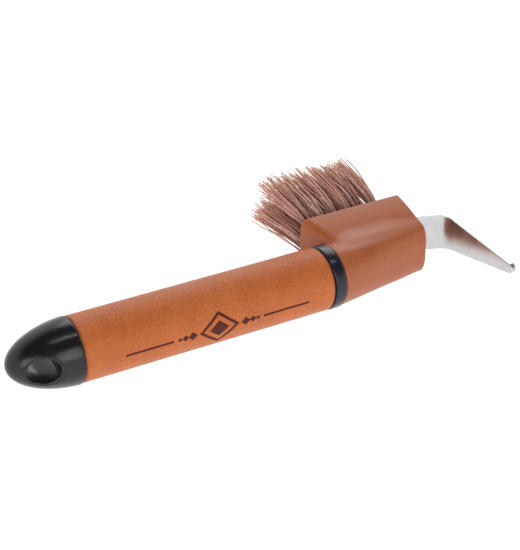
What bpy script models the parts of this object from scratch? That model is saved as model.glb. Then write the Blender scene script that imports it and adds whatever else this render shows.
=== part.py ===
"""Hoof pick: a leather-wrapped handle, a tufted brush and a bent steel blade.

Metres, +Z up. The handle runs along X towards the blade, the brush stands on the +Y side and the blade
hooks to the -Y side, so the tool lies on its side. Shapes are drawn from the handle's axis, with x = 0
where the grip leather starts, and an empty then brings the middle of the base to the origin.
"""
import math

import bmesh
import bpy
from mathutils import Vector

MM = 0.001
GAP = 0.3 * MM  # clearance between pieces that touch

# Handle
GRIP_RADIUS = 12.3 * MM
GRIP_LENGTH = 102.7 * MM
LEATHER_THICKNESS = 1.2 * MM
LEATHER_EDGE = 0.5 * MM
SEAM_WIDTH = 0.4 * MM
CORE_RADIUS = GRIP_RADIUS - LEATHER_THICKNESS - GAP
CORE_BORE_RADIUS = 5.0 * MM
CORE_BORE_BOTTOM = 6.0 * MM
SPIGOT_RADIUS = 8.0 * MM
SPIGOT_LENGTH = 5.7 * MM
TENON_LENGTH = 16.0 * MM
SOCKET_RADIUS = SPIGOT_RADIUS + GAP

# End cap
CAP_RADIUS = 12.6 * MM
CAP_LENGTH = 25.0 * MM
CAP_POWER = 1.85
CAP_STEPS = 9
HANG_HOLE_X = -14.1 * MM
HANG_HOLE_RADIUS = 4.6 * MM
HANG_HOLE_STRETCH = 1.2  # the hole is oval, longer along the handle
HANG_HOLE_STRAIGHT = 7.0 * MM
HANG_HOLE_LIP = [(0.0, 0.0), (1.0, 0.15), (1.9, 0.55), (2.7, 1.2), (7.0, 5.0)]  # mm outwards, mm wider

# Collar ring
RING_RADIUS = 12.5 * MM
RING_START = GRIP_LENGTH + GAP
RING_END = RING_START + 4.7 * MM
RING_CHAMFER = 0.4 * MM

# Head: a body that grows out of the handle's round section, joined to a flared brush block
HEAD_START = RING_END + GAP
HEAD_END = 152.0 * MM
NECK_RADIUS = 12.1 * MM
NEAR_RISE = 10.9 * MM
BODY_NEAR_DEPTHS = (12.1, 6.2, 3.1)  # mm at the neck, halfway and at the front
BODY_FAR_DEPTHS = (12.1, 10.0, 8.0)
BODY_HALF_WIDTHS = (12.1, 10.3, 9.6)
BODY_SQUARENESS = 0.9
BRUSH_FACE_Y = 19.2 * MM
BRUSH_FACE_START = 105.8 * MM
BLOCK_SECTION = [(0.0, 16.1), (9.0, 13.6), (16.6, 10.4), (18.4, 8.8), (20.2, 5.5)]  # mm: drop, half width
REAR_WALL_SLOPE = 0.385
BLOCK_REAR_CORNER = 3.0 * MM

# Brush: tufts in a grid of holes, each folded over a flat wire anchor
TUFT_COLUMNS = 6
TUFT_ROWS = 4
TUFT_FIRST_X = 112.0 * MM
TUFT_PITCH_X = 5.9 * MM
TUFT_PITCH_Z = 7.2 * MM
TUFT_HOLE_RADIUS = 1.9 * MM
TUFT_HOLE_DEPTH = 8.0 * MM
TUFT_ROOT_RADIUS = TUFT_HOLE_RADIUS - GAP
TUFT_FLARE = [  # height above the face and radius in mm, and share of the lean reached
    (5.0, 2.2, 0.12),
    (17.0, 2.8, 0.5),
    (31.0, 3.3, 1.0),
]
FAN_REAR = -5.0 * MM
FAN_FRONT = 0.5 * MM
FAN_SIDE = 8.5 * MM
ANCHOR_THICKNESS = 0.5 * MM
ANCHOR_HEIGHT = 1.5 * MM
ANCHOR_LENGTH = 2 * TUFT_ROOT_RADIUS
ANCHOR_LIFT = 1.5 * MM

# Blade: a flat strap with a joggled tang inside the head, given by its inner face
BLADE_THICKNESS = 2.4 * MM
BLADE_HALF_WIDTH = 7.6 * MM
BLADE_TAPER = 0.1386
BLADE_TIP_HALF_WIDTH = 1.75 * MM
BLADE_TIP_RADIUS = 2.0 * MM
TANG_HOLE_X = 132.0 * MM
TANG_HOLE_RADIUS = 2.6 * MM
BLADE_CORNERS = [  # x and y of the inner face's corners in mm, tang end to tip
    (124.0, 4.7),
    (143.2, 4.7),
    (150.2, 12.2),
    (156.2, 12.2),
    (168.3, 7.65),
    (170.3, -32.4),
]
BLADE_BENDS = [3.0, 3.0, 9.0, 6.8]  # bend radii of the strap's middle line in mm

DEGREES_PER_BEND_STEP = 11
TIP_STEPS = 5
TIP_END_ANGLE = math.radians(83)  # the tip's rounding stops short of a point

PAST_FRONT = HEAD_END + 3 * MM  # the head's two shapes end here, before its front is cut flat
CUTTER_REACH = 30 * MM
POST_REACH = 2 * MM

ROUND_SIDES = 48
HIDDEN_SIDES = 32
LIP_SIDES = 24
HOLE_SIDES = 12
POST_SIDES = 16
BODY_POINTS = 40
TUFT_SIDES = 10


def clear_scene():
    for item in list(bpy.data.objects):
        bpy.data.objects.remove(item, do_unlink=True)


def make_material(name, color, roughness, metallic=0.0):
    material = bpy.data.materials.new(name)
    material.use_nodes = True
    shader = material.node_tree.nodes["Principled BSDF"]
    shader.inputs["Base Color"].default_value = (*color, 1.0)
    shader.inputs["Roughness"].default_value = roughness
    shader.inputs["Metallic"].default_value = metallic
    return material


def add_object(name, shape, material=None, frame=None, location=(0.0, 0.0, 0.0)):
    """Turn a bmesh into an object. Without a material it is a cutter, which isn't part of the tool."""
    bmesh.ops.recalc_face_normals(shape, faces=shape.faces)
    mesh = bpy.data.meshes.new(name)
    shape.to_mesh(mesh)
    shape.free()
    mesh.shade_smooth()
    mesh.set_sharp_from_angle(angle=math.radians(35))
    item = bpy.data.objects.new(name, mesh)
    item.location = location
    item.parent = frame
    bpy.context.scene.collection.objects.link(item)
    if material is None:
        item.hide_render = True
        item.display_type = "WIRE"
    else:
        mesh.materials.append(material)
    return item


def turned(profile, sides, axis="X", closed=False):
    """Spin a profile of (distance along the axis, radius) points into a solid."""
    shape = bmesh.new()
    along_x = axis == "X"
    verts = [shape.verts.new((a, 0, r) if along_x else (0, a, r)) for a, r in profile]
    edges = [shape.edges.new(pair) for pair in zip(verts, verts[1:])]
    if closed:
        edges.append(shape.edges.new((verts[-1], verts[0])))
    direction = (1, 0, 0) if along_x else (0, 1, 0)
    bmesh.ops.spin(
        shape,
        geom=verts + edges,
        axis=direction,
        cent=(0, 0, 0),
        angle=math.tau,
        steps=sides,
        use_merge=True,
    )
    bmesh.ops.remove_doubles(shape, verts=shape.verts, dist=0.001 * MM)
    return shape


def lofted(rings):
    """Join rings of equally many points into a solid with flat ends."""
    shape = bmesh.new()
    loops = [[shape.verts.new(point) for point in ring] for ring in rings]
    count = len(loops[0])
    for first, second in zip(loops, loops[1:]):
        for i in range(count):
            j = (i + 1) % count
            shape.faces.new((first[i], first[j], second[j], second[i]))
    shape.faces.new(loops[0])
    shape.faces.new(list(reversed(loops[-1])))
    return shape


def box(low, high):
    shape = bmesh.new()
    bmesh.ops.create_cube(shape, size=1.0)
    low, high = Vector(low), Vector(high)
    bmesh.ops.scale(shape, vec=high - low, verts=shape.verts)
    bmesh.ops.translate(shape, vec=(low + high) / 2, verts=shape.verts)
    return shape


def boolean(target, cutter, operation="DIFFERENCE"):
    modifier = target.modifiers.new(cutter.name, "BOOLEAN")
    modifier.operation = operation
    modifier.solver = "EXACT"
    modifier.object = cutter


def make_end_cap(frame, material):
    """A bullet-shaped cap with a socket for the core and a lipped oval hanging hole across it."""
    profile = []
    for i in range(CAP_STEPS + 1):
        x = CAP_LENGTH * math.cos(0.5 * math.pi * i / CAP_STEPS)
        radius = CAP_RADIUS * math.sqrt(1 - (x / CAP_LENGTH) ** CAP_POWER)
        profile.append((-max(x, GAP), radius))
    socket_bottom = -SPIGOT_LENGTH - GAP
    profile += [(-GAP, SOCKET_RADIUS), (socket_bottom, SOCKET_RADIUS), (socket_bottom, 0.0)]
    cap = add_object("end_cap", turned(profile, ROUND_SIDES), material, frame)

    half = [(HANG_HOLE_STRAIGHT + out * MM, HANG_HOLE_RADIUS + wider * MM) for out, wider in HANG_HOLE_LIP]
    end = half[-1][0]
    cutter_profile = [(-end, 0.0)] + [(-y, r) for y, r in reversed(half)] + half + [(end, 0.0)]
    cutter = turned(cutter_profile, LIP_SIDES, axis="Y")
    bmesh.ops.scale(cutter, vec=(HANG_HOLE_STRETCH, 1, 1), verts=cutter.verts)
    boolean(cap, add_object("cut_hang_hole", cutter, None, frame, (HANG_HOLE_X, 0, 0)))


def make_core(frame, material):
    """The moulded core: a spigot for the cap, a body for the leather and a hollow tenon for the head."""
    end = GRIP_LENGTH + TENON_LENGTH
    profile = [
        (-SPIGOT_LENGTH, 0.0),
        (-SPIGOT_LENGTH, SPIGOT_RADIUS),
        (0.0, SPIGOT_RADIUS),
        (0.0, CORE_RADIUS),
        (GRIP_LENGTH, CORE_RADIUS),
        (GRIP_LENGTH, SPIGOT_RADIUS),
        (end, SPIGOT_RADIUS),
        (end, CORE_BORE_RADIUS),
        (CORE_BORE_BOTTOM, CORE_BORE_RADIUS),
        (CORE_BORE_BOTTOM, 0.0),
    ]
    add_object("handle_core", turned(profile, HIDDEN_SIDES), material, frame)


def make_leather(frame, material):
    """A sheet of leather rolled round the core, its long edges meeting in a seam under the brush."""
    inner = GRIP_RADIUS - LEATHER_THICKNESS
    outline = [
        (0.0, inner),
        (0.0, GRIP_RADIUS - LEATHER_EDGE),
        (LEATHER_EDGE, GRIP_RADIUS),
        (GRIP_LENGTH - LEATHER_EDGE, GRIP_RADIUS),
        (GRIP_LENGTH, GRIP_RADIUS - LEATHER_EDGE),
        (GRIP_LENGTH, inner),
    ]
    half_seam = 0.5 * SEAM_WIDTH / GRIP_RADIUS
    rings = []
    for i in range(ROUND_SIDES + 1):
        angle = half_seam + (math.tau - 2 * half_seam) * i / ROUND_SIDES
        rings.append([Vector((x, r * math.cos(angle), r * math.sin(angle))) for x, r in outline])
    add_object("leather_sleeve", lofted(rings), material, frame)


def make_collar_ring(frame, material):
    profile = [
        (RING_START, SOCKET_RADIUS),
        (RING_START, RING_RADIUS - RING_CHAMFER),
        (RING_START + RING_CHAMFER, RING_RADIUS),
        (RING_END - RING_CHAMFER, RING_RADIUS),
        (RING_END, RING_RADIUS - RING_CHAMFER),
        (RING_END, SOCKET_RADIUS),
    ]
    add_object("collar_ring", turned(profile, ROUND_SIDES, closed=True), material, frame)


def along_head(values, t):
    """A smooth curve through three sizes in mm, at the neck, halfway and at the front."""
    neck, halfway, front = values
    return (neck * (1 - t) * (1 - 2 * t) + halfway * 4 * t * (1 - t) + front * t * (2 * t - 1)) * MM


def head_body_section(x):
    """The body's section: round at the neck, then narrower, shallower on the hook side and squarer."""
    t = (x - HEAD_START) / (HEAD_END - HEAD_START)
    near_depth = along_head(BODY_NEAR_DEPTHS, t)
    middle = NEAR_RISE * t - NECK_RADIUS + near_depth
    far_depth = along_head(BODY_FAR_DEPTHS, t)
    half_width = along_head(BODY_HALF_WIDTHS, t)
    power = 2 / (2 + BODY_SQUARENESS * t)
    ring = []
    for i in range(BODY_POINTS):
        angle = math.tau * i / BODY_POINTS
        across, along = math.sin(angle), math.cos(angle)
        depth = near_depth if along < 0 else far_depth
        y = middle + math.copysign(depth * abs(along) ** power, along)
        z = math.copysign(half_width * abs(across) ** power, across)
        ring.append(Vector((x, y, z)))
    return ring


def brush_block():
    """The flared block under the brush, with a rear wall that slopes forward to the neck."""
    half = [(drop * MM, half_width * MM) for drop, half_width in BLOCK_SECTION]
    outline = half + [(drop, -half_width) for drop, half_width in reversed(half)]
    rear, front = [], []
    for drop, z in outline:
        y = BRUSH_FACE_Y - drop
        rear.append(Vector((BRUSH_FACE_START + REAR_WALL_SLOPE * drop, y, z)))
        front.append(Vector((PAST_FRONT, y, z)))
    shape = lofted([rear, front])
    shape.verts.ensure_lookup_table()
    last = len(outline) - 1
    pairs = [(0, 1), (1, 2), (last, last - 1), (last - 1, last - 2)]
    rear_corners = [shape.edges.get((shape.verts[a], shape.verts[b])) for a, b in pairs]
    bmesh.ops.bevel(
        shape, geom=rear_corners, offset=BLOCK_REAR_CORNER, segments=3, profile=0.5, affect="EDGES"
    )
    return shape


def tuft_places():
    """Each hole's column and row, its x and z, and how far its tuft leans along x and z at the tips."""
    last = TUFT_COLUMNS - 1
    for column in range(TUFT_COLUMNS):
        for row in range(TUFT_ROWS):
            x = TUFT_FIRST_X + column * TUFT_PITCH_X
            side = row - (TUFT_ROWS - 1) / 2
            lean_x = FAN_REAR + (FAN_FRONT - FAN_REAR) * column / last
            lean_z = FAN_SIDE * side / ((TUFT_ROWS - 1) / 2)
            yield column, row, x, side * TUFT_PITCH_Z, lean_x, lean_z


def strap_path(grow=0.0):
    """Points and outward directions along the strap's middle line, with its bends as arcs."""
    corners = [Vector(corner) * MM for corner in BLADE_CORNERS]
    corners[0].x -= grow
    half = BLADE_THICKNESS / 2
    runs = [(b - a).normalized() for a, b in zip(corners, corners[1:])]
    sides = [Vector((-run.y, run.x)) for run in runs]
    middle = [corners[0] + sides[0] * half]
    for corner, before, after in zip(corners[1:-1], sides, sides[1:]):
        middle.append(corner + (before + after) * half / (1 + before.dot(after)))
    middle.append(corners[-1] + sides[-1] * half)

    points = [(middle[0], sides[0])]
    for i, radius in enumerate(BLADE_BENDS, start=1):
        before, after = runs[i - 1], runs[i]
        turn = math.atan2(before.cross(after), before.dot(after))
        reach = radius * MM * math.tan(abs(turn) / 2)
        start = middle[i] - before * reach
        toward = sides[i - 1] * math.copysign(radius * MM, turn)
        centre = start + toward
        steps = max(2, round(math.degrees(abs(turn)) / DEGREES_PER_BEND_STEP))
        for step in range(steps + 1):
            part = turn * step / steps
            spun = Vector((
                toward.x * math.cos(part) - toward.y * math.sin(part),
                toward.x * math.sin(part) + toward.y * math.cos(part),
            ))
            points.append((centre - spun, spun.normalized() * math.copysign(1, turn)))
    points.append((middle[-1], sides[-1]))
    return points


def strap(grow=0.0):
    """The blade as a solid. Grown, it is the slot that holds the tang."""
    path = strap_path(grow)
    tip, side = path[-1]
    last_bend = path[-2][0]
    path = path[:-1]
    run = (tip - last_bend).normalized()
    straight = (tip - last_bend).length
    for share in (0.25, 0.5, 0.75):
        path.append((last_bend + run * straight * share, side))
    for i in range(TIP_STEPS + 1):
        back = BLADE_TIP_RADIUS * (1 - math.sin(TIP_END_ANGLE * i / TIP_STEPS))
        path.append((tip - run * back, side))
    half_thickness = BLADE_THICKNESS / 2 + grow
    rings = []
    for point, outward in path:
        to_tip = (point - tip).dot(-run)
        width = min(BLADE_HALF_WIDTH, BLADE_TIP_HALF_WIDTH + BLADE_TAPER * to_tip)
        rounding = min(1.0, to_tip / BLADE_TIP_RADIUS)
        width = width * math.sqrt(1 - (1 - rounding) ** 2) + grow
        outer = point + outward * half_thickness
        inner = point - outward * half_thickness
        rings.append([
            Vector((outer.x, outer.y, width)),
            Vector((outer.x, outer.y, -width)),
            Vector((inner.x, inner.y, -width)),
            Vector((inner.x, inner.y, width)),
        ])
    return lofted(rings)


def add_bar(shape, x, z, y_range, radius, sides):
    """Add a round bar along Y to a bmesh."""
    loops = []
    for y in y_range:
        turns = [math.tau * i / sides for i in range(sides)]
        ring = [(x + radius * math.cos(turn), y, z + radius * math.sin(turn)) for turn in turns]
        loops.append([shape.verts.new(point) for point in ring])
    first, second = loops
    for i in range(sides):
        j = (i + 1) % sides
        shape.faces.new((first[i], first[j], second[j], second[i]))
    shape.faces.new(first)
    shape.faces.new(list(reversed(second)))


def post(radius):
    """A round bar through the tang's locking hole."""
    tang_y = BLADE_CORNERS[0][1] * MM
    y_range = (tang_y - POST_REACH, tang_y + BLADE_THICKNESS + POST_REACH)
    shape = bmesh.new()
    add_bar(shape, TANG_HOLE_X, 0.0, y_range, radius, POST_SIDES)
    return shape


def make_blade(frame, material):
    blade = add_object("pick_blade", strap(), material, frame)
    boolean(blade, add_object("cut_tang_hole", post(TANG_HOLE_RADIUS), None, frame))


def make_head(frame, material):
    """The moulded head, with a socket for the core, a slot for the tang and holes for the tufts."""
    stations = [HEAD_START + (HEAD_END - HEAD_START) * i / 6 for i in range(7)]
    stations.append(PAST_FRONT)
    head = add_object("head_block", lofted([head_body_section(x) for x in stations]), material, frame)

    boolean(head, add_object("join_brush_block", brush_block(), None, frame), "UNION")
    reach = CUTTER_REACH
    front_box = (HEAD_END, -reach, -reach), (HEAD_END + reach, reach, reach)
    boolean(head, add_object("cut_front", box(*front_box), None, frame))

    socket_end = GRIP_LENGTH + TENON_LENGTH + GAP
    socket = [(GRIP_LENGTH, 0.0), (GRIP_LENGTH, SOCKET_RADIUS)]
    socket += [(socket_end, SOCKET_RADIUS), (socket_end, 0.0)]
    boolean(head, add_object("cut_socket", turned(socket, HIDDEN_SIDES), None, frame))

    slot = add_object("cut_slot", strap(GAP), None, frame)
    boolean(slot, add_object("keep_post", post(TANG_HOLE_RADIUS - GAP), None, frame))
    boolean(head, slot)

    holes = bmesh.new()
    hole_range = (BRUSH_FACE_Y - TUFT_HOLE_DEPTH, BRUSH_FACE_Y + CUTTER_REACH)
    for _, _, x, z, _, _ in tuft_places():
        add_bar(holes, x, z, hole_range, TUFT_HOLE_RADIUS, HOLE_SIDES)
    boolean(head, add_object("cut_tuft_holes", holes, None, frame))


def tuft(lean_x, lean_z):
    """One bundle of bristles: a straight root in its hole, then a flare that leans to its tips."""
    levels = [(GAP - TUFT_HOLE_DEPTH, TUFT_ROOT_RADIUS, 0.0), (0.0, TUFT_ROOT_RADIUS, 0.0)]
    levels += [(height * MM, radius * MM, share) for height, radius, share in TUFT_FLARE]
    rings = []
    for y, radius, share in levels:
        turns = [math.tau * (i + 0.5) / TUFT_SIDES for i in range(TUFT_SIDES)]
        rings.append([
            Vector((lean_x * share + radius * math.cos(turn), y, lean_z * share + radius * math.sin(turn)))
            for turn in turns
        ])
    return lofted(rings)


def make_brush(frame, bristle, wire):
    """The tufts stand in their holes, and an anchor lies in the fold at the root of each."""
    anchor_low = ANCHOR_LIFT - TUFT_HOLE_DEPTH
    half = Vector((ANCHOR_THICKNESS / 2, 0, ANCHOR_LENGTH / 2))
    anchor_box = (-half.x, anchor_low, -half.z), (half.x, anchor_low + ANCHOR_HEIGHT, half.z)
    slot_x, slot_z = half.x + GAP, ANCHOR_LENGTH
    slot_box = (-slot_x, anchor_low - GAP, -slot_z), (slot_x, anchor_low + ANCHOR_HEIGHT + GAP, slot_z)
    for column, row, x, z, lean_x, lean_z in tuft_places():
        label = f"c{column + 1}_r{row + 1}"
        place = (x, BRUSH_FACE_Y, z)
        bundle = add_object(f"bristle_tuft_{label}", tuft(lean_x, lean_z), bristle, frame, place)
        boolean(bundle, add_object(f"cut_fold_{label}", box(*slot_box), None, frame, place))
        add_object(f"tuft_anchor_{label}", box(*anchor_box), wire, frame, place)


def stand_on_origin(frame):
    """Move the whole tool so that the middle of its base is at the origin."""
    bpy.context.view_layer.update()
    depsgraph = bpy.context.evaluated_depsgraph_get()
    points = []
    for item in frame.children:
        if item.hide_render:
            continue
        evaluated = item.evaluated_get(depsgraph)
        points += [evaluated.matrix_world @ vertex.co for vertex in evaluated.data.vertices]
    low = [min(point[i] for point in points) for i in range(3)]
    high = [max(point[i] for point in points) for i in range(3)]
    frame.location = (-(low[0] + high[0]) / 2, -(low[1] + high[1]) / 2, -low[2])


def main():
    clear_scene()
    frame = bpy.data.objects.new("pick_frame", None)
    bpy.context.scene.collection.objects.link(frame)

    black_gloss = make_material("black_gloss_plastic", (0.012, 0.012, 0.014), 0.22)
    black_core = make_material("black_core_plastic", (0.02, 0.02, 0.02), 0.5)
    leather = make_material("tan_leather", (0.52, 0.16, 0.055), 0.5)
    ring_plastic = make_material("ring_plastic", (0.012, 0.012, 0.016), 0.2)
    tan_plastic = make_material("tan_plastic", (0.42, 0.14, 0.06), 0.4)
    steel = make_material("satin_steel", (0.6, 0.6, 0.6), 0.35, 1.0)
    bristle = make_material("brown_bristle", (0.3, 0.13, 0.09), 0.55)
    wire = make_material("anchor_wire", (0.7, 0.7, 0.7), 0.3, 1.0)

    make_end_cap(frame, black_gloss)
    make_core(frame, black_core)
    make_leather(frame, leather)
    make_collar_ring(frame, ring_plastic)
    make_head(frame, tan_plastic)
    make_blade(frame, steel)
    make_brush(frame, bristle, wire)
    stand_on_origin(frame)


main()
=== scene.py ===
"""The looks of a hoof pick: leather grip, moulded head and cap, brushed blade and separate bristles.

Shapes are drawn in millimetres from the point on the handle's axis where the leather starts, with X towards
the blade, Y towards the brush and Z up. The main sizes are read from the CAD boxes.
"""
import math
import random

import bpy
import numpy as np
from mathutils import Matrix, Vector


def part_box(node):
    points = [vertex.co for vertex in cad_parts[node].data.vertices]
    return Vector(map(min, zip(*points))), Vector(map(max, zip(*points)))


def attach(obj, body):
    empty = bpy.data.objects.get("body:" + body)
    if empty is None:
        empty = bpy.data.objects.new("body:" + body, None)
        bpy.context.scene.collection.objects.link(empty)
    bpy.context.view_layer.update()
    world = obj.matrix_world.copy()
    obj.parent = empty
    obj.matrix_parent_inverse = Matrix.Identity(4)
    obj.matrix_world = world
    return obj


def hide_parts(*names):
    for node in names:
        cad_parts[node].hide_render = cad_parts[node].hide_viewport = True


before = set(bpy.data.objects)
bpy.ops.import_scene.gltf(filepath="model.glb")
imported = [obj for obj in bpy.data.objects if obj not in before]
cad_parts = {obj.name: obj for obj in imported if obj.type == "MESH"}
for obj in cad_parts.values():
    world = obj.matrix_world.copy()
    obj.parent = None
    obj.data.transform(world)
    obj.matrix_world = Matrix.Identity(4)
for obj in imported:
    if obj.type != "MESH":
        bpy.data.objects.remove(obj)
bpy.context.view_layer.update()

MM = 0.001

LEATHER_LOW, LEATHER_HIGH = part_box("leather_sleeve")
AXIS_START = Vector((
    LEATHER_LOW.x,
    (LEATHER_LOW.y + LEATHER_HIGH.y) / 2,
    (LEATHER_LOW.z + LEATHER_HIGH.z) / 2,
))


def extent(node):
    """A node's lowest and highest corners, in millimetres from the start of the handle's axis."""
    low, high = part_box(node)
    return (low - AXIS_START) / MM, (high - AXIS_START) / MM


GAP = 0.3  # between pieces that touch
SHARP_ANGLE = math.radians(40)  # edges sharper than this aren't shaded smooth

# Handle
GRIP_LENGTH = extent("leather_sleeve")[1].x
GRIP_RADIUS = extent("leather_sleeve")[1].z
LEATHER_THICKNESS = 1.2
LEATHER_EDGE = 0.8
LEATHER_EDGE_LEAST = 0.2  # the least thickness where its edges are rounded
SEAM_WIDTH = 0.4
WORN_ENDS = (0.3, 1.6)  # how far from its ends the darkening is full, and where it stops
SOCKET_RADIUS = 8.3  # in the cap, the ring and the head, round the core
TENON_SOCKET_END = GRIP_LENGTH + 16.3

# End cap
CAP_LENGTH = -extent("end_cap")[0].x
CAP_BASE_X = extent("end_cap")[1].x
CAP_RADIUS = extent("end_cap")[1].z
CAP_POWER = 1.85
CAP_EDGE = 0.35
CAP_SOCKET_DEPTH = 6.0
CAP_SOCKET_EDGE = 0.2
CAP_SPACING = 0.3  # of the grid that its surface is found on
HANG_HOLE_X = -14.1
HANG_HOLE_RADIUS = 4.6
HANG_HOLE_STRETCH = 1.2
HANG_HOLE_LIP = 1.5

# Collar ring
RING_START, RING_END = extent("collar_ring")[0].x, extent("collar_ring")[1].x
RING_RADIUS = extent("collar_ring")[1].z
RING_EDGE = 0.55

# Head
HEAD_LOW, HEAD_HIGH = extent("head_block")
HEAD_START = RING_END + GAP
HEAD_END = HEAD_HIGH.x
NECK_RADIUS = 12.1
NEAR_RISE = 10.9
BODY_NEAR_DEPTHS = (12.1, 6.2, 3.1)  # at the neck, halfway and at the front
BODY_FAR_DEPTHS = (12.1, 10.0, 8.0)
BODY_HALF_WIDTHS = (12.1, 10.3, 9.6)
BODY_SQUARENESS = 0.9
BRUSH_FACE_Y = HEAD_HIGH.y
BRUSH_HALF_WIDTH = HEAD_HIGH.z
BRUSH_FACE_START = HEAD_LOW.x
FLANK_SLOPE = 0.22  # at the brush face
FLANK_CURVE = 0.0075
REAR_WALL_SLOPE = 0.385
BLOCK_DEPTH = 20.2
BLOCK_BASE_ROUNDING = 4.0
BLOCK_CORNER = 3.4
HEAD_EDGE = 0.8
NECK_EDGE = 0.35
FILLET_REAR = 0.6  # between the body and the block, where they leave the ring
FILLET_GROWTH = 5.0
FILLET_GROWS = (109, 120)  # from here to here along the tool
FILLET_SHRINK = 0.5  # the share of it that is lost again
FILLET_SHRINKS = (135, 152)
HEAD_SPACING = 0.4

# Brush
TUFT_COLUMNS = 6
TUFT_ROWS = 4
TUFT_FIRST_X = 112.0
TUFT_PITCH_X = 5.9
TUFT_PITCH_Z = 7.2
TUFT_HOLE_RADIUS = 1.9
TUFT_HOLE_DEPTH = 8.0
TUFT_HOLE_EDGE = 0.25
STRANDS = 54
STRAND_RADIUS = 0.3
STRAND_SIDES = 5
STRAND_STEPS = 14
STRAND_ROOT = TUFT_HOLE_DEPTH * 0.7  # how far a bristle reaches down its hole
STRAND_STRAIGHT = 5.0  # how far above the face a bristle reaches its full lean
STRAND_TAPER = 0.35
STRAND_LENGTH = 28.6
STRAND_LENGTH_SPREAD = 1.7
SHORTEST_STRAND = 23.5
LONGEST_STRAND = 31.2
STRAND_SPLAY = (1.6, 3.0)  # how far a bristle from the outside of a tuft leans out of it
STRAND_STRAY = 0.9
STRAND_CURLS = (0.55, 0.95)  # below 1, a bristle leans early and then straightens
WAVE_SIZES = (0.05, 0.22)
WAVE_PITCHES = (9.0, 16.0)
FAN_REAR = [-5.0, -6.5, -6.0, -3.6]  # how far each row leans forward, or back, in the rear column
FAN_FRONT = 0.6  # and every row in the front column
FRONT_BOW = 1.7  # how far the front column's bristles bow forward, and the others in proportion
FAN_SIDE_REAR = [-10.2, 8.0, 5.8, 8.0]  # how far each row leans up, or down, in the rear column
FAN_SIDE_FRONT = [-5.0, -0.4, 3.4, 7.8]  # and in the front column
FAN_SIDE_POWER = 1.2
COMBED = [-1, 1, 0, 0]  # the way each row's rear tufts are parted: down, up or not at all
COMBED_COLUMNS = 3  # how many columns are parted, from the rear
COMBED_UP_CURL = 0.35

# Blade: the inner face's corners and the bend radii of the strap's middle line
BLADE_THICKNESS = 2.4
BLADE_HALF_WIDTH = 7.6
BLADE_TAPER = 0.1386
BLADE_TIP_HALF_WIDTH = 1.75
BLADE_TIP_RADIUS = 2.0
BLADE_TIP_THINNING = 0.25
BLADE_CORNERS = [
    (124.0, 4.7), (143.2, 4.7), (150.2, 12.2), (156.2, 12.2), (168.3, 7.65), (170.3, -32.4),
]
BLADE_BENDS = [3.0, 3.0, 9.0, 6.8]
BLADE_EDGE = 0.35
TANG_HOLE_X = 132.0
TANG_HOLE_RADIUS = 2.6

# Print on the leather: places along the handle, and round it from the side that faces away from the brush
PRINT_LINES = [(15.1, 34.1), (71.1, 90.7)]
PRINT_ARC = -0.8
PRINT_LINE_WIDTH = 0.85
PRINT_RAISE = 0.04
PRINT_CENTRE = 52.6
PRINT_OUTLINE = [(8.2, 6.8), (6.6, 5.4)]  # half length and half height, outside and inside
PRINT_CORE = (4.0, 3.3)
PRINT_BESIDE = [(10.9, 1.9), (13.9, 1.4), (16.1, 0.95)]  # distance from the centre, and half length
PRINT_BESIDE_HEIGHT = 0.9  # as a share of the length

# Camera: its place is from the start of the handle's axis
CAMERA_PLACE = (-171.9, -421.9, 274.65)
CAMERA_DIRECTION = (0.446, 0.757, -0.477)
CAMERA_LENS = 98.2


# ---------------------------------------------------------------- meshes

def add_piece(name, points, faces, material, replaced=(), normals=None):
    """Make a visible piece from points in millimetres, and fix it to the tool."""
    mesh = bpy.data.meshes.new(name)
    placed = np.asarray(points) * MM + np.array(AXIS_START)
    mesh.from_pydata(placed.tolist(), [], faces)
    mesh.shade_smooth()
    mesh.materials.append(material)
    if normals is not None:
        mesh.normals_split_custom_set_from_vertices(normals.tolist())
    item = bpy.data.objects.new(name, mesh)
    bpy.context.scene.collection.objects.link(item)
    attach(item, "root")
    if replaced:
        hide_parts(*replaced)
    return item


def gradient(field, points, reach=0.02):
    """The field's slope at each point, by differences."""
    steps = np.eye(3) * reach
    return np.stack([field(points + step) - field(points - step) for step in steps], axis=1) / (2 * reach)


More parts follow.
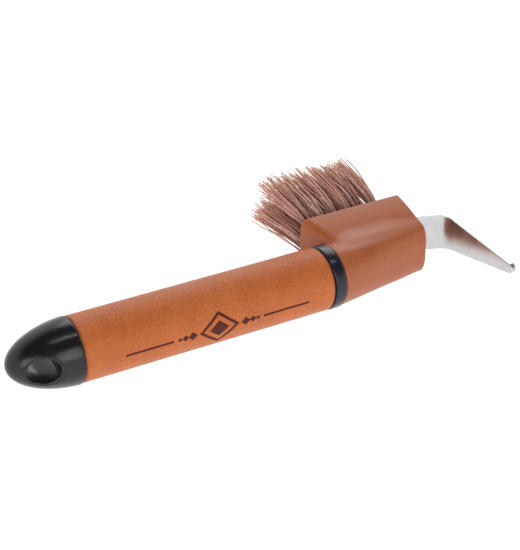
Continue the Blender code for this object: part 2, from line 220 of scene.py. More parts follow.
def surface_of(field, low, high, spacing):
    """Points, quads and normals of the surface where a field is zero. The field is negative inside.

    Each grid cell that the surface crosses gives one point, which then slides along the field's slope
    onto the surface.
    """
    axes = [np.arange(a - 2 * spacing, b + 3 * spacing, spacing) for a, b in zip(low, high)]
    grid = np.stack(np.meshgrid(*axes, indexing="ij"), axis=-1)
    shape = grid.shape[:3]
    value = field(grid.reshape(-1, 3)).reshape(shape)
    cells = tuple(count - 1 for count in shape)
    total = np.zeros(cells + (3,))
    hits = np.zeros(cells)
    crossings = []
    for axis in range(3):
        first, second = [np.take(value, range(i, shape[axis] - 1 + i), axis=axis) for i in (0, 1)]
        start = np.take(grid, range(shape[axis] - 1), axis=axis)
        crossed = (first < 0) != (second < 0)
        share = np.where(crossed, first / np.where(crossed, first - second, 1), 0)
        place = (start + share[..., None] * spacing * np.eye(3)[axis]) * crossed[..., None]
        others = [other for other in range(3) if other != axis]
        for shifts in ((0, 0), (0, 1), (1, 0), (1, 1)):
            window = [slice(None)] * 3
            for other, shift in zip(others, shifts):
                window[other] = slice(shift, shape[other] - 1 + shift)
            total += place[tuple(window)]
            hits += crossed[tuple(window)]
        crossings.append((axis, others, crossed, first < 0))

    used = hits > 0
    points = total[used] / hits[used][:, None]
    index = np.full(cells, -1)
    index[used] = np.arange(len(points))
    faces = []
    for axis, others, crossed, rising in crossings:
        edges = np.argwhere(crossed)
        corners = []
        for shifts in ((1, 1), (0, 1), (0, 0), (1, 0)):
            cell = edges.copy()
            cell[:, others] -= shifts
            corners.append(index[tuple(cell.T)])
        quads = np.stack(corners, axis=1)
        keep = rising[crossed] == (axis != 1)
        faces += quads[keep].tolist() + quads[~keep][:, ::-1].tolist()

    slides = 4
    for _ in range(slides):
        slope = gradient(field, points)
        steepness = np.maximum((slope ** 2).sum(axis=1), 0.05)
        step = (field(points) / steepness)[:, None] * slope
        points = points - np.clip(step, -spacing / 2, spacing / 2)
    normals = gradient(field, points)
    normals /= np.linalg.norm(normals, axis=1, keepdims=True)
    return points, faces, normals


def blended_union(a, b, reach):
    """Both fields' solids, with a fillet of this reach between them."""
    overlap = np.maximum(reach - np.abs(a - b), 0)
    return np.minimum(a, b) - overlap ** 2 / (4 * reach)


def rounded_overlap(a, b, radius):
    """What two fields' solids share, with an edge of this radius."""
    corner = np.hypot(np.maximum(a + radius, 0), np.maximum(b + radius, 0))
    return np.minimum(np.maximum(a, b), -radius) + corner


def smooth_step(low, high, value):
    share = np.clip((value - low) / (high - low), 0, 1)
    return share * share * (3 - 2 * share)


def swept(rings, closed):
    """Quads between rings of equally many points. An open sweep gets an end face at each end."""
    count = len(rings[0])
    points = [point for ring in rings for point in ring]
    faces = []
    last = len(rings) if closed else len(rings) - 1
    for i in range(last):
        a, b = i * count, (i + 1) % len(rings) * count
        for j in range(count):
            k = (j + 1) % count
            faces.append((a + j, a + k, b + k, b + j))
    if not closed:
        faces.append(tuple(range(count))[::-1])
        faces.append(tuple(range(len(points) - count, len(points))))
    return points, faces


# ---------------------------------------------------------------- materials

def new_material(name, color, roughness, metallic=0.0):
    material = bpy.data.materials.new(name)
    material.use_nodes = True
    tree = material.node_tree
    shader = tree.nodes["Principled BSDF"]
    shader.inputs["Base Color"].default_value = (*color, 1)
    shader.inputs["Roughness"].default_value = roughness
    shader.inputs["Metallic"].default_value = metallic
    return material, tree, shader


def add_node(tree, kind, inputs=None, **settings):
    """Add a node. Inputs are values or sockets to link, by name or by number."""
    node = tree.nodes.new(kind)
    for key, value in settings.items():
        setattr(node, key, value)
    for key, value in (inputs or {}).items():
        if isinstance(value, bpy.types.NodeSocket):
            tree.links.new(value, node.inputs[key])
        else:
            node.inputs[key].default_value = value
    return node


def object_coordinates(tree, stretch=(1, 1, 1)):
    """Object coordinates in metres. A factor below 1 draws a pattern out along that axis."""
    coordinates = add_node(tree, "ShaderNodeTexCoord")
    inputs = {"Vector": coordinates.outputs["Object"], "Scale": stretch}
    return add_node(tree, "ShaderNodeMapping", inputs).outputs["Vector"]


def noise(tree, vector, size_mm, detail=2.0, roughness=0.5):
    """Noise whose features are about this many millimetres wide."""
    inputs = {"Vector": vector, "Scale": 1 / (size_mm * MM), "Detail": detail, "Roughness": roughness}
    return add_node(tree, "ShaderNodeTexNoise", inputs).outputs["Fac"]


def remap(tree, value, from_range, to_range):
    inputs = {
        "Value": value,
        "From Min": from_range[0],
        "From Max": from_range[1],
        "To Min": to_range[0],
        "To Max": to_range[1],
    }
    return add_node(tree, "ShaderNodeMapRange", inputs, interpolation_type="SMOOTHSTEP").outputs["Result"]


def ramp(tree, factor, stops):
    """A colour ramp from a list of (place, colour)."""
    node = add_node(tree, "ShaderNodeValToRGB", {"Fac": factor})
    elements = node.color_ramp.elements
    while len(elements) < len(stops):
        elements.new(0.5)
    for element, (place, color) in zip(elements, stops):
        element.position = place
        element.color = (*color, 1)
    return node.outputs["Color"]


def mix_color(tree, factor, a, b, blend="MIX"):
    a, b = [color if isinstance(color, bpy.types.NodeSocket) else (*color, 1) for color in (a, b)]
    inputs = {"Factor": factor, 6: a, 7: b}
    return add_node(tree, "ShaderNodeMix", inputs, data_type="RGBA", blend_type=blend).outputs[2]


def add_bump(tree, shader, layers):
    """Chain bumps of (height socket, depth in mm, strength) into the shader's normal."""
    normal = None
    for height, depth, strength in layers:
        inputs = {"Height": height, "Distance": depth * MM, "Strength": strength}
        if normal is not None:
            inputs["Normal"] = normal
        normal = add_node(tree, "ShaderNodeBump", inputs).outputs["Normal"]
    tree.links.new(normal, shader.inputs["Normal"])


def leather_material():
    """Tan leather: pebbled grain, mottled dye, and darker, smoother ends where it is cut and rubbed."""
    material, tree, shader = new_material("tan_leather", (0.5, 0.13, 0.03), 0.46)
    coordinates = object_coordinates(tree)
    creased = object_coordinates(tree, (1.5, 1, 1))
    mottle = noise(tree, coordinates, 9.0, detail=4.0)
    dye = ramp(tree, mottle, [(0.3, (0.52, 0.112, 0.01)), (0.7, (0.6, 0.148, 0.018))])
    pebble_inputs = {"Vector": creased, "Scale": 1 / (0.9 * MM), "Randomness": 1.0}
    pebble = add_node(tree, "ShaderNodeTexVoronoi", pebble_inputs, feature="SMOOTH_F1").outputs["Distance"]
    pores = noise(tree, coordinates, 0.32, detail=3.0)
    pits = remap(tree, pebble, (0.3, 0.8), (0.0, 0.35))
    grained = mix_color(tree, pits, dye, (0.33, 0.07, 0.018))
    speckle = remap(tree, pores, (0.35, 0.65), (0.9, 1.07))
    speckled = mix_color(tree, 1.0, grained, speckle, "MULTIPLY")
    along = add_node(tree, "ShaderNodeSeparateXYZ", {"Vector": coordinates}).outputs["X"]
    darkest, dark_until = [distance * MM for distance in WORN_ENDS]
    start = AXIS_START.x
    rear = remap(tree, along, (start + darkest, start + dark_until), (0.55, 0.0))
    end = start + GRIP_LENGTH * MM
    front = remap(tree, along, (end - dark_until, end - darkest), (0.0, 0.55))
    worn = add_node(tree, "ShaderNodeMath", {0: rear, 1: front}, operation="ADD").outputs[0]
    color = mix_color(tree, worn, speckled, (0.22, 0.055, 0.02))
    tree.links.new(color, shader.inputs["Base Color"])
    tree.links.new(remap(tree, mottle, (0.3, 0.7), (0.4, 0.48)), shader.inputs["Roughness"])
    add_bump(tree, shader, [(pebble, -0.38, 0.9), (pores, 0.1, 0.7), (mottle, 0.5, 0.25)])
    return material


def gloss_material(name, color, roughness):
    """Polished black plastic with faint moulding ripples and fine rubbed scratches."""
    material, tree, shader = new_material(name, color, roughness)
    coordinates = object_coordinates(tree)
    ripple = noise(tree, coordinates, 7.0, detail=1.0)
    haze = noise(tree, coordinates, 4.0, detail=2.0)
    scratches = noise(tree, object_coordinates(tree, (0.08, 1, 1)), 0.35, detail=2.0)
    darker = tuple(0.75 * channel for channel in color)
    lighter = tuple(1.5 * channel for channel in color)
    tree.links.new(ramp(tree, haze, [(0.35, darker), (0.7, lighter)]), shader.inputs["Base Color"])
    rough_range = (roughness * 0.9, roughness * 1.15)
    tree.links.new(remap(tree, haze, (0.35, 0.7), rough_range), shader.inputs["Roughness"])
    add_bump(tree, shader, [(ripple, 0.25, 0.12), (scratches, 0.01, 0.15)])
    return material


def head_material():
    """Tan satin plastic with faint polishing lines along the tool, lighter towards its sharpest convex
    edges.
    """
    material, tree, shader = new_material("tan_plastic", (0.46, 0.12, 0.04), 0.36)
    shader.inputs["Specular IOR Level"].default_value = 0.6
    coordinates = object_coordinates(tree)
    cloud = noise(tree, coordinates, 11.0, detail=3.0)
    fine = noise(tree, coordinates, 0.5, detail=3.0)
    lines = noise(tree, object_coordinates(tree, (0.05, 1, 1)), 0.5, detail=2.0)
    body = ramp(tree, cloud, [(0.3, (0.38, 0.084, 0.014)), (0.7, (0.42, 0.104, 0.023))])
    streaks = remap(tree, lines, (0.35, 0.65), (0.95, 1.05))
    streaked = mix_color(tree, 1.0, body, streaks, "MULTIPLY")
    edges = add_node(tree, "ShaderNodeNewGeometry").outputs["Pointiness"]
    # Lighter towards the sharpest convex edges, by how pointed the surface is there.
    sharp_edge_lightening = remap(tree, edges, (0.53, 0.6), (0.0, 0.35))
    tree.links.new(mix_color(tree, sharp_edge_lightening, streaked, (0.56, 0.21, 0.09)), shader.inputs["Base Color"])
    tree.links.new(remap(tree, cloud, (0.3, 0.7), (0.36, 0.45)), shader.inputs["Roughness"])
    add_bump(tree, shader, [(lines, 0.02, 0.25), (fine, 0.02, 0.3)])
    return material


def steel_material():
    """Stainless steel, ground across its width and then lightly polished."""
    material, tree, shader = new_material("satin_steel", (0.62, 0.62, 0.62), 0.3, metallic=1.0)
    coordinates = object_coordinates(tree)
    cloud = noise(tree, coordinates, 6.0, detail=4.0)
    brushing = noise(tree, object_coordinates(tree, (1, 1, 0.06)), 0.12, detail=2.0)
    tree.links.new(
        ramp(tree, cloud, [(0.3, (0.56, 0.56, 0.555)), (0.7, (0.63, 0.63, 0.63))]),
        shader.inputs["Base Color"],
    )
    tree.links.new(remap(tree, cloud, (0.3, 0.7), (0.26, 0.34)), shader.inputs["Roughness"])
    add_bump(tree, shader, [(brushing, 0.014, 0.3)])
    return material


def bristle_material():
    """Synthetic bristle: dusty brown, each strand a little different, paler and dustier towards the tips,
    with painted shade that darkens each strand towards its root.
    """
    material, tree, shader = new_material("brown_bristle", (0.36, 0.16, 0.11), 0.5)
    strand = add_node(tree, "ShaderNodeAttribute", attribute_name="strand_tone").outputs["Fac"]
    height = add_node(tree, "ShaderNodeAttribute", attribute_name="strand_height").outputs["Fac"]
    tone = ramp(tree, strand, [
        (0.0, (0.38, 0.145, 0.09)),
        (0.5, (0.6, 0.3, 0.23)),
        (1.0, (0.8, 0.52, 0.44)),
    ])
    dust = noise(tree, object_coordinates(tree), 1.6, detail=3.0)
    tip = remap(tree, height, (0.5, 1.0), (0.0, 0.5))
    tipped = mix_color(tree, tip, tone, (0.9, 0.54, 0.38))
    # Painted shade: the bristles darken towards their roots, deep in the brush where shade falls.
    painted_root_shade = remap(tree, height, (0.0, 0.4), (0.45, 1.0))
    root_shaded = mix_color(tree, 1.0, tipped, painted_root_shade, "MULTIPLY")
    mottled = mix_color(tree, 1.0, root_shaded, remap(tree, dust, (0.3, 0.7), (0.88, 1.1)), "MULTIPLY")
    tree.links.new(mottled, shader.inputs["Base Color"])
    return material


def ink_material():
    """Dark red-brown stamped ink that lets a little of the grain through."""
    material, tree, shader = new_material("print_ink", (0.09, 0.015, 0.01), 0.62)
    shader.inputs["Specular IOR Level"].default_value = 0.2
    coordinates = object_coordinates(tree)
    grain = noise(tree, coordinates, 0.45, detail=3.0)
    ink = ramp(tree, grain, [(0.3, (0.07, 0.011, 0.008)), (0.75, (0.13, 0.024, 0.015))])
    tree.links.new(ink, shader.inputs["Base Color"])
    add_bump(tree, shader, [(grain, 0.04, 0.4)])
    return material


def plain_grain_material(name, color, roughness, metallic=0.0):
    """A hidden inner piece: moulded or drawn stock with a fine grain."""
    material, tree, shader = new_material(name, color, roughness, metallic)
    grain = noise(tree, object_coordinates(tree), 1.2, detail=3.0)
    dark = tuple(0.8 * channel for channel in color)
    tree.links.new(ramp(tree, grain, [(0.3, dark), (0.7, color)]), shader.inputs["Base Color"])
    return material


# ---------------------------------------------------------------- pieces

def cap_field(points):
    """The bullet-shaped cap, with its socket and the oval hanging hole across it."""
    x, y, z = points.T
    radius = np.hypot(y, z)
    share = np.clip(-x / CAP_LENGTH, 0, None)
    # The distance from the bullet shape, nearly. The floor under the slope keeps it finite on the axis.
    value = share ** CAP_POWER + (radius / CAP_RADIUS) ** 2 - 1
    slope_x = CAP_POWER / CAP_LENGTH * share ** (CAP_POWER - 1)
    slope = np.hypot(slope_x, 2 * radius / CAP_RADIUS ** 2)
    outside = value / np.maximum(slope, 0.02)
    solid = rounded_overlap(outside, x - CAP_BASE_X, CAP_EDGE)
    socket = np.maximum(radius - SOCKET_RADIUS, -CAP_SOCKET_DEPTH - x)
    solid = rounded_overlap(solid, -socket, CAP_SOCKET_EDGE)
    hole = np.hypot((x - HANG_HOLE_X) / HANG_HOLE_STRETCH, z) - HANG_HOLE_RADIUS
    return rounded_overlap(solid, -hole, HANG_HOLE_LIP)


def make_cap(material):
    low, high = extent("end_cap")
    points, faces, normals = surface_of(cap_field, low, high, CAP_SPACING)
    add_piece("cap_shell", points, faces, material, ["end_cap"], normals)


def make_grip(material):
    """The rolled leather: rounded at both ends and along the two sides of the seam."""
    def drop(distance):
        """How far the surface falls this far from an edge."""
        inside = max(LEATHER_EDGE - distance, 0)
        return LEATHER_EDGE - math.sqrt(LEATHER_EDGE ** 2 - inside ** 2)

    edge_steps = 6
    near_edge = [
        LEATHER_EDGE * (1 - math.cos(0.5 * math.pi * i / edge_steps)) for i in range(edge_steps + 1)
    ]
    length_steps = 40
    middle = GRIP_LENGTH - 2 * LEATHER_EDGE
    places = near_edge + [LEATHER_EDGE + middle * i / length_steps for i in range(1, length_steps)]
    places += [GRIP_LENGTH - place for place in reversed(near_edge)]

    round_length = math.tau * GRIP_RADIUS - SEAM_WIDTH
    round_steps = 120
    arcs = near_edge + [
        LEATHER_EDGE + (round_length - 2 * LEATHER_EDGE) * i / round_steps for i in range(1, round_steps)
    ]
    arcs += [round_length - arc for arc in reversed(near_edge)]
    inner = GRIP_RADIUS - LEATHER_THICKNESS
    rings = []
    for arc in arcs:
        angle = (arc + SEAM_WIDTH / 2) / GRIP_RADIUS
        side = drop(min(arc, round_length - arc))
        ring = [(0.0, inner)]
        for x in places:
            end = drop(min(x, GRIP_LENGTH - x))
            ring.append((x, max(GRIP_RADIUS - math.hypot(side, end), inner + LEATHER_EDGE_LEAST)))
        ring.append((GRIP_LENGTH, inner))
        rings.append([(x, r * math.cos(angle), r * math.sin(angle)) for x, r in ring])
    points, faces = swept(rings, closed=False)
    add_piece("grip_leather", points, faces, material, ["leather_sleeve"])


def printed_patch(corners, cells):
    """A thin raised plate on the leather between four corners of (place along, arc)."""
    a, b, c, d = [np.array(corner) for corner in corners]
    points, faces = [], []
    across, along = cells
    for raised in (False, True):
        radius = GRIP_RADIUS + (PRINT_RAISE if raised else -PRINT_RAISE)
        for i in range(across + 1):
            for j in range(along + 1):
                u, v = i / across, j / along
                x, arc = (a * (1 - v) + b * v) * (1 - u) + (d * (1 - v) + c * v) * u
                angle = arc / GRIP_RADIUS
                points.append((x, -radius * math.cos(angle), radius * math.sin(angle)))
    row = along + 1
    layer = (across + 1) * row
    for i in range(across):
        for j in range(along):
            k = i * row + j
            faces.append((k, k + row, k + row + 1, k + 1))
            faces.append((k + layer, k + 1 + layer, k + row + 1 + layer, k + row + layer))
    border = list(range(along)) + [i * row + along for i in range(across)]
    border += [across * row + along - j for j in range(along)] + [(across - i) * row for i in range(across)]
    for k, n in zip(border, border[1:] + border[:1]):
        faces.append((k, n, n + layer, k + layer))
    return points, faces


def lozenge(centre, half_length, half_height):
    x, arc = centre
    return [(x - half_length, arc), (x, arc - half_height), (x + half_length, arc), (x, arc + half_height)]


def make_print(material):
    """Two lines and, between them, a row of lozenges about an outlined one."""
    patches = []
    half = PRINT_LINE_WIDTH / 2
    for start, end in PRINT_LINES:
        low, high = PRINT_ARC - half, PRINT_ARC + half
        patches.append((((start, low), (end, low), (end, high), (start, high)), (2, 12)))
    centre = (PRINT_CENTRE, PRINT_ARC)
    outer, inner = [lozenge(centre, *size) for size in PRINT_OUTLINE]
    for i in range(4):
        k = (i + 1) % 4
        patches.append(((outer[i], outer[k], inner[k], inner[i]), (2, 10)))
    patches.append((lozenge(centre, *PRINT_CORE), (8, 8)))
    for side in (-1, 1):
        for reach, size in PRINT_BESIDE:
            place = (PRINT_CENTRE + side * reach, PRINT_ARC)
            patches.append((lozenge(place, size, size * PRINT_BESIDE_HEIGHT), (4, 4)))
    points, faces = [], []
    for corners, cells in patches:
        patch_points, patch_faces = printed_patch(corners, cells)
        start = len(points)
        points += patch_points
        faces += [tuple(k + start for k in face) for face in patch_faces]
    add_piece("grip_print", points, faces, material)


def make_ring(material):
    """The collar ring, rounded at both outer edges."""
    steps = 6
    corner = []
    for i in range(steps + 1):
        turn = 0.5 * math.pi * i / steps
        corner.append((RING_EDGE * (1 - math.cos(turn)), RING_RADIUS - RING_EDGE * (1 - math.sin(turn))))
    profile = [(RING_START, SOCKET_RADIUS)]
    profile += [(RING_START + inset, radius) for inset, radius in corner]
    profile += [(RING_END - inset, radius) for inset, radius in reversed(corner)]
    profile.append((RING_END, SOCKET_RADIUS))
    sides = 128
    rings = []
    for i in range(sides):
        angle = math.tau * i / sides
        rings.append([(x, r * math.cos(angle), r * math.sin(angle)) for x, r in profile])
    points, faces = swept(rings, closed=True)
    ring = add_piece("collar_ring_shell", points, faces, material, ["collar_ring"])
    ring.data.set_sharp_from_angle(angle=SHARP_ANGLE)


def strap_path(steps_per_degree):
    """Points and outward directions along the strap's middle line, with its bends as arcs."""
    corners = [Vector(corner) for corner in BLADE_CORNERS]
    half = BLADE_THICKNESS / 2
    runs = [(b - a).normalized() for a, b in zip(corners, corners[1:])]
    sides = [Vector((-run.y, run.x)) for run in runs]
    middle = [corners[0] + sides[0] * half]
    for corner, before, after in zip(corners[1:-1], sides, sides[1:]):
        middle.append(corner + (before + after) * half / (1 + before.dot(after)))
    middle.append(corners[-1] + sides[-1] * half)
    path = [(middle[0], sides[0])]
    for i, radius in enumerate(BLADE_BENDS, start=1):
        before, after = runs[i - 1], runs[i]
        turn = math.atan2(before.cross(after), before.dot(after))
        start = middle[i] - before * radius * math.tan(abs(turn) / 2)
        toward = sides[i - 1] * math.copysign(radius, turn)
        centre = start + toward
        steps = max(3, round(math.degrees(abs(turn)) * steps_per_degree))
        for step in range(steps + 1):
            part = turn * step / steps
            spun = Vector((
                toward.x * math.cos(part) - toward.y * math.sin(part),
                toward.x * math.sin(part) + toward.y * math.cos(part),
            ))
            path.append((centre - spun, spun.normalized() * math.copysign(1, turn)))
    path.append((middle[-1], sides[-1]))
    return path


def make_blade(material):
    """The bent strap: parallel, then tapered to a rounded tip, with every long edge softened."""
    path = strap_path(steps_per_degree=0.4)
    tip, side = path.pop()
    last_bend = path[-1][0]
    run = (tip - last_bend).normalized()
    straight = (tip - last_bend).length
    straight_steps = 12
    for i in range(1, straight_steps):
        path.append((last_bend + run * straight * i / straight_steps, side))
    tip_steps = 12
    tip_turn = math.radians(86)  # just short of the point where the width is zero
    for i in range(tip_steps + 1):
        back = BLADE_TIP_RADIUS * (1 - math.sin(tip_turn * i / tip_steps))
        path.append((tip - run * back, side))
    corner_steps = 4
    rings = []
    for point, outward in path:
        to_tip = (point - tip).dot(-run)
        width = min(BLADE_HALF_WIDTH, BLADE_TIP_HALF_WIDTH + BLADE_TAPER * to_tip)
        rounding = min(1.0, to_tip / BLADE_TIP_RADIUS)
        width *= math.sqrt(1 - (1 - rounding) ** 2)
        edge = min(BLADE_EDGE, width * 0.9)  # less than the width, so that the sides stay apart
        squeeze = 1 - BLADE_TIP_THINNING * (1 - rounding) ** 2
        half = BLADE_THICKNESS / 2 * squeeze
        ring = []
        for quarter, (side_out, side_across) in enumerate(((1, 1), (1, -1), (-1, -1), (-1, 1))):
            for step in range(corner_steps + 1):
                turn = 0.5 * math.pi * (step / corner_steps)
                if quarter % 2:
                    turn = 0.5 * math.pi - turn
                out = side_out * (half - edge * (1 - math.sin(turn)))
                across = side_across * (width - edge * (1 - math.cos(turn)))
                place = point + outward * out
                ring.append((place.x, place.y, across))
        rings.append(ring)
    points, faces = swept(rings, closed=False)
    blade = add_piece("blade_steel", points, faces, material, ["pick_blade"])
    blade.data.set_sharp_from_angle(angle=SHARP_ANGLE)


def tang_distance(x, y):
    """The distance in the XY plane to the middle line of the strap."""
    path = np.array([point[:] for point, _ in strap_path(steps_per_degree=0.1)])
    best = np.full(x.shape, np.inf)
    for a, b in zip(path, path[1:]):
        run = b - a
        share = np.clip(((x - a[0]) * run[0] + (y - a[1]) * run[1]) / run.dot(run), 0, 1)
        best = np.minimum(best, np.hypot(x - a[0] - share * run[0], y - a[1] - share * run[1]))
    return best


def along_head(values, t):
    """A smooth curve through three sizes, at the neck, halfway and at the front."""
    neck, halfway, front = values
    return neck * (1 - t) * (1 - 2 * t) + halfway * 4 * t * (1 - t) + front * t * (2 * t - 1)


def head_field(points):
    """The moulded head: a body that grows out of the neck, blended into the flared brush block."""
    x, y, z = points.T
    z = np.abs(z)
    t = np.clip((x - HEAD_START) / (HEAD_END - HEAD_START), 0, 1.1)
    near_depth = along_head(BODY_NEAR_DEPTHS, t)
    middle = NEAR_RISE * t - NECK_RADIUS + near_depth
    half_width = along_head(BODY_HALF_WIDTHS, t)
    power = 2 + BODY_SQUARENESS * t
    depth = np.where(y < middle, near_depth, along_head(BODY_FAR_DEPTHS, t))
    # The distance from the squared-off oval section, nearly. The floors keep it finite in its middle.
    deep, wide = np.abs(y - middle) / depth, z / half_width
    stretch = np.maximum((deep ** power + wide ** power) ** (1 / power), 0.3)
    slope = np.hypot(deep ** (power - 1) / depth, wide ** (power - 1) / half_width) * stretch ** (1 - power)
    outside = (stretch - 1) / np.maximum(slope, 0.5 / half_width)
    body = rounded_overlap(outside, HEAD_START - x, NECK_EDGE)

    drop = BRUSH_FACE_Y - y
    flank = z - BRUSH_HALF_WIDTH + FLANK_SLOPE * drop + FLANK_CURVE * drop ** 2
    flank /= np.hypot(1, FLANK_SLOPE + 2 * FLANK_CURVE * drop)
    rear = (BRUSH_FACE_START + REAR_WALL_SLOPE * drop - x) / math.hypot(1, REAR_WALL_SLOPE)
    block = rounded_overlap(flank, rear, BLOCK_CORNER)
    block = rounded_overlap(block, drop - BLOCK_DEPTH, BLOCK_BASE_ROUNDING)

    grown = smooth_step(*FILLET_GROWS, x)
    shrunk = FILLET_SHRINK * smooth_step(*FILLET_SHRINKS, x)
    fillet = FILLET_REAR + FILLET_GROWTH * grown * (1 - shrunk)
    solid = blended_union(body, block, fillet)
    solid = rounded_overlap(solid, x - HEAD_END, HEAD_EDGE)
    solid = rounded_overlap(solid, y - BRUSH_FACE_Y, HEAD_EDGE)

    socket = np.maximum(np.hypot(y, z) - SOCKET_RADIUS, x - TENON_SOCKET_END)
    solid = np.maximum(solid, -socket)

    slot_half = BLADE_THICKNESS / 2 + GAP
    slot = np.maximum(tang_distance(x, y) - slot_half, z - BLADE_HALF_WIDTH - GAP)
    post = np.hypot(x - TANG_HOLE_X, z) - (TANG_HOLE_RADIUS - GAP)
    solid = np.maximum(solid, -np.maximum(slot, -post))

    column = np.clip(np.round((x - TUFT_FIRST_X) / TUFT_PITCH_X), 0, TUFT_COLUMNS - 1)
    row = np.clip(np.round(z / TUFT_PITCH_Z - 0.5), 0, TUFT_ROWS / 2 - 1)
    hole_x = TUFT_FIRST_X + TUFT_PITCH_X * column
    hole_z = TUFT_PITCH_Z * (row + 0.5)
    radial = np.hypot(x - hole_x, z - hole_z) - TUFT_HOLE_RADIUS
    hole = np.maximum(radial, drop - TUFT_HOLE_DEPTH)
    return rounded_overlap(solid, -hole, TUFT_HOLE_EDGE)


def make_head(material):
    points, faces, normals = surface_of(head_field, HEAD_LOW, HEAD_HIGH, HEAD_SPACING)
    add_piece("head_shell", points, faces, material, ["head_block"], normals)


def strand_path(dice, column, row):
    """One bristle's middle line, from inside its hole to its tip."""
    hole = np.array((TUFT_FIRST_X + TUFT_PITCH_X * column, TUFT_PITCH_Z * (row - (TUFT_ROWS - 1) / 2)))
    spread = math.sqrt(dice.random())
    angle = dice.uniform(0, math.tau)
    offset = np.array((math.cos(angle), math.sin(angle))) * spread
    combed = COMBED[row] if column < COMBED_COLUMNS else 0
    root = offset * (TUFT_HOLE_RADIUS - GAP - STRAND_RADIUS)
    if combed:
        offset[1] = combed * abs(offset[1])
    if combed > 0:
        root[1] = abs(root[1])
    forward = column / (TUFT_COLUMNS - 1)
    lean_x = FAN_REAR[row] + (FAN_FRONT - FAN_REAR[row]) * forward
    backward = (1 - forward) ** FAN_SIDE_POWER
    lean_z = FAN_SIDE_FRONT[row] + (FAN_SIDE_REAR[row] - FAN_SIDE_FRONT[row]) * backward
    stray = np.array((dice.gauss(0, STRAND_STRAY), dice.gauss(0, STRAND_STRAY)))
    tip = np.array((lean_x, lean_z)) + offset * dice.uniform(*STRAND_SPLAY) + stray
    length = dice.gauss(STRAND_LENGTH, STRAND_LENGTH_SPREAD)
    length = min(max(length, SHORTEST_STRAND), LONGEST_STRAND)
    waves = []
    for _ in range(2):
        waves.append((dice.uniform(*WAVE_SIZES), dice.uniform(*WAVE_PITCHES), dice.uniform(0, math.tau)))
    curl = np.full(2, dice.uniform(*STRAND_CURLS))
    if combed > 0:
        curl[1] = COMBED_UP_CURL
    path = []
    for step in range(STRAND_STEPS + 1):
        share = step / STRAND_STEPS
        height = -STRAND_ROOT + (length + STRAND_ROOT) * share
        free = max(height, 0) / length
        swing = tip * free ** curl * smooth_step(0, STRAND_STRAIGHT, height)
        bow = np.array((FRONT_BOW * forward * math.sin(math.pi * free), 0))
        growth = min(free * 3, 1)  # full from a third of the way up
        wave = np.array([
            size * growth * math.sin(math.tau * height / pitch + phase) for size, pitch, phase in waves
        ])
        x, z = hole + root + swing + bow + wave
        path.append((x, BRUSH_FACE_Y + height, z, free))
    return path


def make_tuft(column, row, material):
    """One tuft of separate bristles, each a thin tube that narrows at its tip."""
    dice = random.Random(100 * column + row)
    floor_z = extent("bristle_tuft_c1_r1")[0].z + STRAND_RADIUS
    points, faces, tones, heights = [], [], [], []
    for _ in range(STRANDS):
        tone = dice.random()
        path = strand_path(dice, column, row)
        start = len(points)
        for x, y, z, free in path:
            radius = STRAND_RADIUS * (1 - STRAND_TAPER * free ** 4)
            z = min(max(z, floor_z), -floor_z)
            for side in range(STRAND_SIDES):
                turn = math.tau * side / STRAND_SIDES
                points.append((x + radius * math.cos(turn), y, z + radius * math.sin(turn)))
                tones.append(tone)
                heights.append(free)
        for ring in range(len(path) - 1):
            a = start + ring * STRAND_SIDES
            for side in range(STRAND_SIDES):
                k = (side + 1) % STRAND_SIDES
                faces.append((a + side, a + STRAND_SIDES + side, a + STRAND_SIDES + k, a + k))
        faces.append(tuple(range(start, start + STRAND_SIDES)))
        faces.append(tuple(range(len(points) - STRAND_SIDES, len(points)))[::-1])
    label = f"c{column + 1}_r{row + 1}"
    replaced = [f"bristle_tuft_{label}"]
    tuft = add_piece(f"bristles_{label}", points, faces, material, replaced)
    for name, values in (("strand_tone", tones), ("strand_height", heights)):
        attribute = tuft.data.attributes.new(name, "FLOAT", "POINT")
        attribute.data.foreach_set("value", values)


def dress_hidden_nodes():
    """The core and the wire anchors keep their CAD shapes and get a finish."""
    core = plain_grain_material("core_plastic", (0.022, 0.022, 0.022), 0.5)
    wire = plain_grain_material("anchor_wire", (0.62, 0.62, 0.6), 0.32, metallic=1.0)
    for name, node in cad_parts.items():
        if name == "handle_core":
            node.data.materials[0] = core
        elif name.startswith("tuft_anchor"):
            node.data.materials[0] = wire


# ---------------------------------------------------------------- studio

def add_area_light(name, place, aim, size, power):
    """A rectangular soft light. Place and aim are in metres from the middle of the tool's base."""
    light = bpy.data.lights.new(name, "AREA")
    light.shape = "RECTANGLE"
    light.size, light.size_y = size
    light.energy = power
    item = bpy.data.objects.new(name, light)
    item.location = place
    item.rotation_euler = (Vector(aim) - Vector(place)).to_track_quat("-Z", "Y").to_euler()
    bpy.context.scene.collection.objects.link(item)
    return item


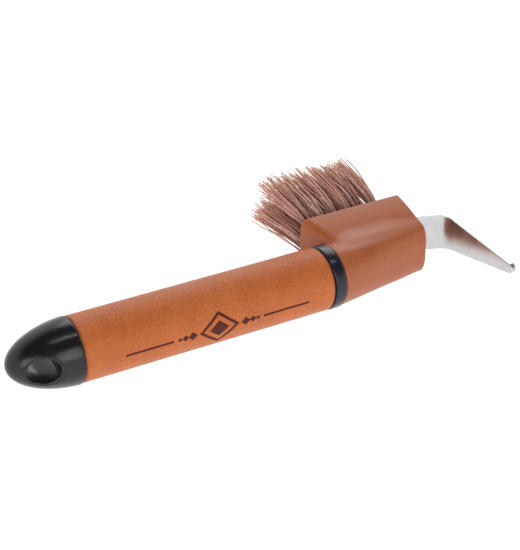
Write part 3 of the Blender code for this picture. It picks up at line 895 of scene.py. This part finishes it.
def make_studio():
    scene = bpy.context.scene
    scene.view_settings.view_transform = "Standard"
    world = bpy.data.worlds.new("studio")
    scene.world = world
    world.use_nodes = True
    tree = world.node_tree
    background = tree.nodes["Background"]
    direction = add_node(tree, "ShaderNodeTexCoord").outputs["Generated"]
    parts = add_node(tree, "ShaderNodeSeparateXYZ", {"Vector": direction}).outputs
    # White near the horizon and dark grey overhead. The change comes lower in front.
    toward_front = {0: parts["Y"], 1: -0.35, 2: parts["Z"]}
    height = add_node(tree, "ShaderNodeMath", toward_front, operation="MULTIPLY_ADD").outputs[0]
    sky = ramp(tree, height, [(0.0, (1.0, 1.0, 1.0)), (0.45, (1.0, 1.0, 1.0)), (0.75, (0.13, 0.13, 0.14))])
    tree.links.new(sky, background.inputs["Color"])
    background.inputs["Strength"].default_value = 1.0

    material, _, shader = new_material("pale_floor", (0.15, 0.15, 0.15), 0.9)
    shader.inputs["Specular IOR Level"].default_value = 0.0
    shader.inputs["Emission Color"].default_value = (1, 1, 1, 1)
    shader.inputs["Emission Strength"].default_value = 1.0
    half = 4.0
    mesh = bpy.data.meshes.new("floor")
    corners = [(-half, -half, 0), (half, -half, 0), (half, half, 0), (-half, half, 0)]
    mesh.from_pydata(corners, [], [(0, 1, 2, 3)])
    mesh.materials.append(material)
    floor = bpy.data.objects.new("floor", mesh)
    scene.collection.objects.link(floor)

    add_area_light("front_softbox", (0.0, -0.95, 0.36), (0, 0, 0), (0.42, 0.55), 1.6)
    add_area_light("left_softbox", (-0.75, -0.6, 0.4), (0, 0, 0), (0.5, 0.5), 1.6)
    add_area_light("back_softbox", (0.55, 0.75, 0.85), (0.05, 0, 0), (0.8, 0.8), 3.4)
    add_area_light("top_strip", (0.2, -0.25, 1.06), (0.2, -0.25, 0), (0.8, 0.06), 1.2)
    fill = add_area_light("top_fill", (0.1, -0.1, 1.4), (0, 0, 0), (1.0, 1.0), 1.5)
    fill.visible_glossy = False


def make_camera():
    camera = bpy.data.cameras.new("camera")
    camera.sensor_fit = "AUTO"
    camera.sensor_width = 36.0
    camera.lens = CAMERA_LENS
    camera.clip_start = 0.01
    item = bpy.data.objects.new("camera", camera)
    item.location = AXIS_START + Vector(CAMERA_PLACE) * MM
    item.rotation_euler = Vector(CAMERA_DIRECTION).to_track_quat("-Z", "Y").to_euler()
    bpy.context.scene.collection.objects.link(item)
    bpy.context.scene.camera = item


def main():
    make_camera()
    make_studio()
    make_cap(gloss_material("black_gloss_plastic", (0.004, 0.004, 0.006), 0.22))
    make_grip(leather_material())
    make_print(ink_material())
    make_ring(gloss_material("ring_plastic", (0.011, 0.009, 0.02), 0.2))
    make_head(head_material())
    make_blade(steel_material())
    bristle = bristle_material()
    for column in range(TUFT_COLUMNS):
        for row in range(TUFT_ROWS):
            make_tuft(column, row, bristle)
    dress_hidden_nodes()


main()
